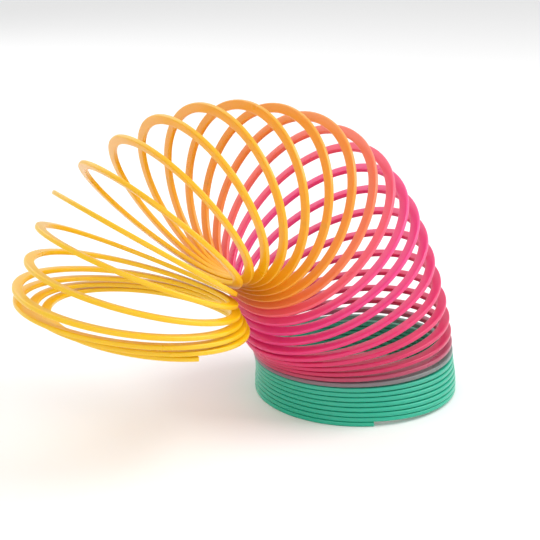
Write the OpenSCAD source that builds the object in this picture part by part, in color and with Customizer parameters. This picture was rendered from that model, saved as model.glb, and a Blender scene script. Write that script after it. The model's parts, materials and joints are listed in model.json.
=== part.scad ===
// Spring coil toy: one flat plastic wire wound into a left-handed coil, standing on its closed lower turns and
// bent over in an arch. Each node is one turn. The turns meet at the inner side of the arch, where the wire twists.

/* [Wire] */
// Outside diameter of a closed turn
outer_d = 75; // [60:1:90]
// Width of the wire, measured towards the middle of the turn
wire_w = 3.4; // [2.8:0.1:3.6]
// Thickness of the wire, measured along the coil
wire_t = 1.6; // [1.3:0.05:1.6]

/* [Coil] */
// Step from turn to turn where the coil is closed
closed_step = 1.78; // [1.7:0.01:1.9]
// Number of joints between turns
joint_count = 32; // [32:1:32]
// How far the last turn goes round, in sections of 10 degrees
end_sections = 26; // [12:1:34]
// How much of the arch is bent, from a straight stack to the posed arch
bend = 1; // [0.6:0.05:1]

/* [Colours] */
// Number of green turns
green_turns = 8; // [4:1:10]
// Number of pink turns
pink_turns = 10; // [6:1:12]
// Number of orange turns
orange_turns = 9; // [4:1:10]

/* [Hidden] */
// Places on the coil are counted in sections, with 0 at the inner side of the first full turn.
sections = 36;
first = -6;
last = joint_count * sections + end_sections;
// The foot is the part of the first turn that lies flat.
foot_sections = 26;
// The climb that the foot leaves out is spread over this many turns.
even_turns = 8;
mid_r = (outer_d - wire_w) / 2;

// Shape of the arch as [turn, value] pairs, with an even change from one pair to the next
// Degrees by which the coil opens over one turn
open_at = [[2, 0], [6, 0], [9, 2], [12, 6], [15, 5.2], [18, 7.7], [21, 11.8], [25, 12], [28, 9.4], [30, 1.8],
    [33, 0]];
// Step along the coil at the inner side, in closed steps
step_at = [[2, 1], [12, 1.05], [15, 1.4], [18, 1.2], [21, 1.13], [28, 1.13], [31, 1.02]];
// Radius of a turn towards the inner side, and at right angles to that, in closed radii
radius_at = [[2, 1], [12, 1.01], [15, 1.03], [18, 0.99], [21, 0.88], [25, 0.83], [28, 0.88], [30, 1.03],
    [33, 0.83]];
side_radius_at = [[2, 1], [6, 0.95], [9, 0.95], [12, 0.98], [15, 0.96], [18, 1], [21, 1.04], [25, 1.01],
    [28, 1.08], [33, 1.08]];
// Slip of one turn on the next, outwards and to the side, in mm
slip_out_at = [[2, 0], [9, -0.6], [12, -1.2], [15, 2], [25, 2], [28, -2], [30, -2], [33, 0]];
slip_side_at = [[2, 0], [9, 0], [12, 0], [15, 1.6], [18, 1], [21, 0.3], [25, 0.8], [28, -1], [30, 0.5], [33, 0]];

colours = ["green", "pink", "orange", "yellow"];
shades = ["mediumaquamarine", "crimson", "orange", "gold"];
turn_count = joint_count + 1;
counts = [green_turns, pink_turns, orange_turns, turn_count - green_turns - pink_turns - orange_turns];

function before(c) = c == 0 ? 0 : before(c - 1) + counts[c - 1];
function two_digits(n) = n < 10 ? str("0", n) : str(n);
function colour_of(k) = len([for (c = [1:3]) if (k >= before(c)) c]);
function turn_name(k) = str(colours[colour_of(k)], "_turn_", two_digits(k - before(colour_of(k)) + 1));

// The way from the inner side of a turn to its outer side, and the way along the coil, at a lean in degrees
function outward(lean) = [cos(lean), 0, sin(lean)];
function along(lean) = [-sin(lean), 0, cos(lean)];
side = [0, 1, 0];

// The lean of each section, and the line that runs up the inner side of the coil
leans = [for (i = first, lean = 0; i <= last; lean = lean + bend * lookup(i / sections, open_at) / sections,
    i = i + 1) lean];
function advance(i, lean) = (closed_step * lookup(i / sections, step_at) * along(lean)
    + lookup(i / sections, slip_out_at) * outward(lean) + lookup(i / sections, slip_side_at) * side) / sections;
inner_line = [for (i = first, p = [-mid_r, 0, wire_t / 2]; i <= last; p = p + advance(i, leans[i - first]),
    i = i + 1) p];

// Height taken off a section so that the foot lies flat
function level(i) =
    let (wound = (i - first) / sections, turn = floor(wound), part = wound - turn)
    let (flat = foot_sections / sections, share = max(0, min(1, 1 - (turn - 1) / even_turns)))
    closed_step * share * (max(0, part - flat) / (1 - flat) - part);

// The four corners of the wire at a section
function corners(i) =
    let (lean = leans[i - first], a = 360 * i / sections, turn = i / sections)
    let (r = mid_r * lookup(turn, radius_at), side_r = mid_r * lookup(turn, side_radius_at))
    let (middle = inner_line[i - first] + [0, 0, level(i)]
        + r * (1 - cos(a)) * outward(lean) + side_r * sin(a) * side)
    let (spoke = -side_r * cos(a) * outward(lean) + r * sin(a) * side)
    let (reach = spoke / norm(spoke) * wire_w / 2, lift = along(lean) * wire_t / 2)
    [middle - reach - lift, middle + reach - lift, middle + reach + lift, middle - reach + lift];

// The object's box, which puts the origin under its middle
every_corner = [for (i = [first:last]) each corners(i)];
min_x = min([for (p = every_corner) p.x]);
max_x = max([for (p = every_corner) p.x]);
min_y = min([for (p = every_corner) p.y]);
max_y = max([for (p = every_corner) p.y]);

// A stretch of wire from one section to another
module wire(from, to) {
    n = to - from;
    ends = [[0, 1, 2, 3], [for (c = [3:-1:0]) 4 * n + c]];
    walls = [for (s = [0:n - 1], c = [0:3])
        let (d = (c + 1) % 4)
        [4 * s + c, 4 * s + 4 + c, 4 * s + 4 + d, 4 * s + d]];
    polyhedron([for (i = [from:to]) each corners(i)], concat(ends, walls), convexity = 4);
}

// The flat foot, an exact arc on which the coil stands
module foot() {
    start = 180 - (first + foot_sections) * 360 / sections;
    rotate([0, 0, start])
        rotate_extrude(angle = foot_sections * 360 / sections, $fn = 180)
            translate([mid_r - wire_w / 2, 0]) square([wire_w, wire_t]);
}

// One turn of the coil, from the inner side round to the inner side again
module coil_turn(k) {
    color(shades[colour_of(k)])
        translate([-(min_x + max_x) / 2, -(min_y + max_y) / 2, 0])
            if (k == 0) {
                foot();
                wire(first + foot_sections, sections);
            } else {
                wire(k * sections, min((k + 1) * sections, last));
            }
}

for (k = [0:turn_count - 1])
    coil_turn(k);
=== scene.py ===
"""Spring coil toy: one flat plastic wire, moulded as a left-handed coil and bent over in an arch.

The CAD turns are replaced by smooth pieces along the same line. Each turn has an outer half, which rides on
its own body, and an inner half, which crosses the joint to the turn before and stays fixed in place, on no
body.
"""

import json
import math

import bpy
import numpy as np
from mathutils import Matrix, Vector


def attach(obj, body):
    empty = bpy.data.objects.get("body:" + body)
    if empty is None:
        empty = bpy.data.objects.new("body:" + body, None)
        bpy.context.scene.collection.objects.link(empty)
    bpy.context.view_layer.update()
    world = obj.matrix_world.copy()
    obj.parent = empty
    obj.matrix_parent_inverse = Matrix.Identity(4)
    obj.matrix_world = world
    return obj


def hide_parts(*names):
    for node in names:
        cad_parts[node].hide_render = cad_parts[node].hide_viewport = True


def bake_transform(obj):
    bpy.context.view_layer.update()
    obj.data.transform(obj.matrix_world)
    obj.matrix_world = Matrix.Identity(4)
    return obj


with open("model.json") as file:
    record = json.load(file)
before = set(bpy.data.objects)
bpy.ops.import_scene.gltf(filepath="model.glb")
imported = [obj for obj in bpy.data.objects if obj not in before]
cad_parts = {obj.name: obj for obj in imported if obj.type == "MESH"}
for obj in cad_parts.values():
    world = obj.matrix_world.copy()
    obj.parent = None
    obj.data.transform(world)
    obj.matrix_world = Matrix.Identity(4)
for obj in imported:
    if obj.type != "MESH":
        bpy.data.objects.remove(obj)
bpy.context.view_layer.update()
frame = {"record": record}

MM = 0.001

# The coil, with the same driving values as the CAD model, in millimetres, degrees and turns
OUTER_D = 75.0
WIRE_W = 3.4
WIRE_T = 1.6
CLOSED_STEP = 1.78
JOINTS = 32
START_TURN = -1 / 6
END_TURN = JOINTS + 26 / 36
FOOT_SHARE = 26 / 36
EVEN_TURNS = 8
MID_R = (OUTER_D - WIRE_W) / 2

# Shape of the arch: the turn, then the value there. First the degrees by which the coil opens over one turn
OPEN_AT = [
    (2, 0), (6, 0), (9, 2), (12, 6), (15, 5.2), (18, 7.7),
    (21, 11.8), (25, 12), (28, 9.4), (30, 1.8), (33, 0),
]
# Step along the coil, in closed steps
STEP_AT = [(2, 1), (12, 1.05), (15, 1.4), (18, 1.2), (21, 1.13), (28, 1.13), (31, 1.02)]
# Radius of a turn towards the inner side, and at right angles to that, in closed radii
RADIUS_AT = [
    (2, 1), (12, 1.01), (15, 1.03), (18, 0.99), (21, 0.88),
    (25, 0.83), (28, 0.88), (30, 1.03), (33, 0.83),
]
SIDE_RADIUS_AT = [
    (2, 1), (6, 0.95), (9, 0.95), (12, 0.98), (15, 0.96),
    (18, 1), (21, 1.04), (25, 1.01), (28, 1.08), (33, 1.08),
]
# Slip of one turn on the next, outwards and to the side, in mm
SLIP_OUT_AT = [(2, 0), (9, -0.6), (12, -1.2), (15, 2), (25, 2), (28, -2), (30, -2), (33, 0)]
SLIP_SIDE_AT = [
    (2, 0), (9, 0), (12, 0), (15, 1.6), (18, 1),
    (21, 0.3), (25, 0.8), (28, -1), (30, 0.5), (33, 0),
]

# Rings to a turn, one every 4 degrees, and the rounded edges of the wire
RINGS = 90
FIRST_RING = round(START_TURN * RINGS)
CORNER_R = 0.5
CORNER_POINTS = 4

# Colour of the plastic along the coil: the turn, then sRGB
COLOUR_AT = [
    (0.0, (36, 174, 142)),
    (6.9, (44, 172, 142)),
    (8.0, (130, 96, 110)),
    (9.2, (190, 32, 82)),
    (12.0, (212, 38, 98)),
    (16.5, (230, 60, 134)),
    (17.8, (236, 90, 112)),
    (18.8, (236, 126, 76)),
    (19.8, (236, 152, 46)),
    (22.0, (236, 168, 28)),
    (24.0, (238, 180, 18)),
    (27.0, (238, 191, 16)),
    (33.0, (236, 193, 16)),
]


def at(table, turn):
    """The value of a table at each turn, changing evenly from one entry to the next."""
    return np.interp(turn, [row[0] for row in table], [row[1] for row in table])


def coil_line():
    """Turn numbers, centre line, spoke and axial directions of the wire, all along its length."""
    step = 1 / RINGS
    turn = np.arange(FIRST_RING, round(END_TURN * RINGS) + 1) * step
    opening = np.radians(at(OPEN_AT, turn)) * step
    lean = np.concatenate([[0], np.cumsum((opening[1:] + opening[:-1]) / 2)])
    zero = np.zeros_like(lean)
    outward = np.stack([np.cos(lean), zero, np.sin(lean)], 1)
    along = np.stack([-np.sin(lean), zero, np.cos(lean)], 1)
    side = np.stack([zero, zero + 1, zero], 1)
    advance = (
        CLOSED_STEP * at(STEP_AT, turn)[:, None] * along
        + at(SLIP_OUT_AT, turn)[:, None] * outward
        + at(SLIP_SIDE_AT, turn)[:, None] * side
    ) * step
    travel = np.vstack([np.zeros(3), np.cumsum((advance[1:] + advance[:-1]) / 2, 0)])
    inner = np.array([-MID_R, 0, WIRE_T / 2]) + travel

    wound = turn - turn[0]
    whole = np.floor(wound + 1e-9)
    part = wound - whole
    share = np.clip(1 - (whole - 1) / EVEN_TURNS, 0, 1)
    climb = np.maximum(0, part - FOOT_SHARE) / (1 - FOOT_SHARE)
    inner[:, 2] += CLOSED_STEP * share * (climb - part)

    angle = 2 * np.pi * turn
    radius = MID_R * at(RADIUS_AT, turn)
    side_radius = MID_R * at(SIDE_RADIUS_AT, turn)
    centre = (
        inner
        + (radius * (1 - np.cos(angle)))[:, None] * outward
        + (side_radius * np.sin(angle))[:, None] * side
    )
    spoke = (-side_radius * np.cos(angle))[:, None] * outward + (radius * np.sin(angle))[:, None] * side
    spoke /= np.linalg.norm(spoke, axis=1)[:, None]
    return turn, centre, spoke, along


def wire_section():
    """Outline of the wire: a flat bar with rounded edges, as (across, along) pairs in millimetres."""
    points = []
    for quarter, (sx, sy) in enumerate(((1, 1), (-1, 1), (-1, -1), (1, -1))):
        for i in range(CORNER_POINTS + 1):
            a = math.pi / 2 * (quarter + i / CORNER_POINTS)
            points.append((
                sx * (WIRE_W / 2 - CORNER_R) + CORNER_R * math.cos(a),
                sy * (WIRE_T / 2 - CORNER_R) + CORNER_R * math.sin(a),
            ))
    return np.array(points)


def srgb(rgb):
    """Linear colour from sRGB values of 0 to 255."""
    c = np.array(rgb) / 255
    return tuple(np.where(c <= 0.04045, c / 12.92, ((c + 0.055) / 1.055) ** 2.4)) + (1.0,)


def plastic():
    """Glossy, slightly translucent plastic. Its colour follows the turn number stored on the mesh."""
    material = bpy.data.materials.new("coil_plastic")
    material.use_nodes = True
    nodes, links = material.node_tree.nodes, material.node_tree.links
    shader = nodes["Principled BSDF"]
    turn = nodes.new("ShaderNodeAttribute")
    turn.attribute_name = "turn"
    ramp = nodes.new("ShaderNodeValToRGB")
    last = COLOUR_AT[-1][0]
    stops = ramp.color_ramp.elements
    while len(stops) < len(COLOUR_AT):
        stops.new(0.5)
    for stop, (place, rgb) in zip(stops, COLOUR_AT):
        stop.position = place / last
        stop.color = srgb(rgb)
    links.new(turn.outputs["Fac"], ramp.inputs["Fac"])

    position = nodes.new("ShaderNodeTexCoord")
    flow = nodes.new("ShaderNodeTexNoise")
    flow.inputs["Scale"].default_value = 60.0
    flow.inputs["Detail"].default_value = 4.0
    links.new(position.outputs["Object"], flow.inputs["Vector"])
    tint = nodes.new("ShaderNodeHueSaturation")
    shade = nodes.new("ShaderNodeMapRange")
    shade.inputs["To Min"].default_value = 0.94
    shade.inputs["To Max"].default_value = 1.05
    links.new(flow.outputs["Fac"], shade.inputs["Value"])
    links.new(shade.outputs["Result"], tint.inputs["Value"])
    links.new(ramp.outputs["Color"], tint.inputs["Color"])
    links.new(tint.outputs["Color"], shader.inputs["Base Color"])

    gloss = nodes.new("ShaderNodeMapRange")
    gloss.inputs["To Min"].default_value = 0.22
    gloss.inputs["To Max"].default_value = 0.38
    links.new(flow.outputs["Fac"], gloss.inputs["Value"])
    links.new(gloss.outputs["Result"], shader.inputs["Roughness"])

    grain = nodes.new("ShaderNodeTexNoise")
    grain.inputs["Scale"].default_value = 900.0
    grain.inputs["Detail"].default_value = 3.0
    links.new(position.outputs["Object"], grain.inputs["Vector"])
    bump = nodes.new("ShaderNodeBump")
    bump.inputs["Strength"].default_value = 0.25
    bump.inputs["Distance"].default_value = 0.00006
    links.new(grain.outputs["Fac"], bump.inputs["Height"])
    links.new(bump.outputs["Normal"], shader.inputs["Normal"])

    shader.inputs["IOR"].default_value = 1.5
    shader.inputs["Subsurface Weight"].default_value = 0.35
    shader.inputs["Subsurface Radius"].default_value = (1.0, 0.6, 0.4)
    shader.inputs["Subsurface Scale"].default_value = 0.0015
    return material


def wire_piece(name, start, end, material):
    """One stretch of wire from one turn number to another, closed by a flat face at each end."""
    first = round(start * RINGS) - FIRST_RING
    last = round(end * RINGS) - FIRST_RING
    rows = np.arange(first, last + 1)
    n = len(section)
    points = (
        centre[rows, None]
        + section[None, :, :1] * spoke[rows, None]
        + section[None, :, 1:] * along[rows, None]
    )
    walls = [
        (i * n + j, i * n + (j + 1) % n, (i + 1) * n + (j + 1) % n, (i + 1) * n + j)
        for i in range(len(rows) - 1)
        for j in range(n)
    ]
    top = (len(rows) - 1) * n
    ends = [tuple(range(n))[::-1], tuple(range(top, top + n))]
    mesh = bpy.data.meshes.new(name)
    mesh.from_pydata((points.reshape(-1, 3) * MM + place).tolist(), [], walls + ends)
    mesh.polygons.foreach_set("use_smooth", [True] * len(walls) + [False] * 2)
    rim = set(range(n)) | set(range(top, top + n))
    for edge in mesh.edges:
        if edge.vertices[0] in rim and edge.vertices[1] in rim:
            edge.use_edge_sharp = True
    stored = mesh.attributes.new("turn", "FLOAT", "POINT")
    stored.data.foreach_set("value", np.repeat(np.clip(turn[rows], 0, None) / COLOUR_AT[-1][0], n))
    mesh.materials.append(material)
    mesh.validate()
    obj = bpy.data.objects.new(name, mesh)
    bpy.context.collection.objects.link(obj)
    return obj


turn, centre, spoke, along = coil_line()
section = wire_section()
foot = next(m for m in frame["record"]["mounts"] if m["name"] == "foot")
place = np.array(foot["pos_m"]) - np.array([MID_R * MM, 0, 0])
names = [sub["node"] for sub in frame["record"]["subparts"]]
coil_plastic = plastic()

for k, name in enumerate(names):
    start = START_TURN if k == 0 else k + 0.25
    outer = wire_piece(name + "_outer", start, min(k + 0.75, END_TURN), coil_plastic)
    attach(outer, name)
    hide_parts(name)
    if k:
        inner = wire_piece(name + "_inner", k - 0.25, k + 0.25, coil_plastic)
        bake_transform(inner)


def pale_floor():
    """A wide pale floor that the coil stands on."""
    half = 3.0
    mesh = bpy.data.meshes.new("floor")
    corners = [(-half, -half, 0), (half, -half, 0), (half, half, 0), (-half, half, 0)]
    mesh.from_pydata(corners, [], [(0, 1, 2, 3)])
    floor = bpy.data.objects.new("floor", mesh)
    bpy.context.collection.objects.link(floor)
    material = bpy.data.materials.new("floor_paper")
    material.use_nodes = True
    shader = material.node_tree.nodes["Principled BSDF"]
    shader.inputs["Base Color"].default_value = (0.93, 0.93, 0.93, 1)
    shader.inputs["Roughness"].default_value = 0.9
    mesh.materials.append(material)


def area_light(name, place_m, aim_m, size_m, watts):
    """A square soft light at a place, pointing at another."""
    data = bpy.data.lights.new(name, "AREA")
    data.size = size_m
    data.energy = watts
    light = bpy.data.objects.new(name, data)
    light.location = place_m
    bpy.context.collection.objects.link(light)
    direction = Vector(aim_m) - Vector(place_m)
    light.rotation_euler = direction.to_track_quat("-Z", "Y").to_euler()


def camera():
    """The view of the coil from the front left, a little above. Lengths are in metres."""
    azimuth = math.radians(-36.72)
    elevation = math.radians(18.0)
    distance = 0.450
    aim = (-0.036, 0, 0.050)
    shift_right, shift_up = -0.00306, 0.00236
    lens = 86.0
    level = math.cos(elevation)
    back = Vector((math.sin(azimuth) * level, -math.cos(azimuth) * level, math.sin(elevation)))
    right = Vector((math.cos(azimuth), math.sin(azimuth), 0))
    up = back.cross(right)
    target = Vector(place) + Vector(aim) + right * shift_right + up * shift_up
    data = bpy.data.cameras.new("camera")
    data.lens = lens
    data.sensor_width = 36.0
    data.clip_start = 0.01
    obj = bpy.data.objects.new("camera", data)
    obj.location = target + back * distance
    obj.rotation_euler = (-back).to_track_quat("-Z", "Y").to_euler()
    bpy.context.collection.objects.link(obj)
    bpy.context.scene.camera = obj


arch_middle = (0, 0, 0.05)
pale_floor()
area_light("key", (0.55, -0.35, 0.65), arch_middle, 0.6, 5.0)
area_light("fill", (-0.6, -0.5, 0.5), arch_middle, 0.8, 1.2)
area_light("back", (0.0, 0.7, 0.6), arch_middle, 0.8, 2.0)
camera()

world = bpy.data.worlds.new("studio")
world.use_nodes = True
world.node_tree.nodes["Background"].inputs["Color"].default_value = (1, 1, 1, 1)
world.node_tree.nodes["Background"].inputs["Strength"].default_value = 0.8
bpy.context.scene.world = world
bpy.context.scene.view_settings.view_transform = "Standard"
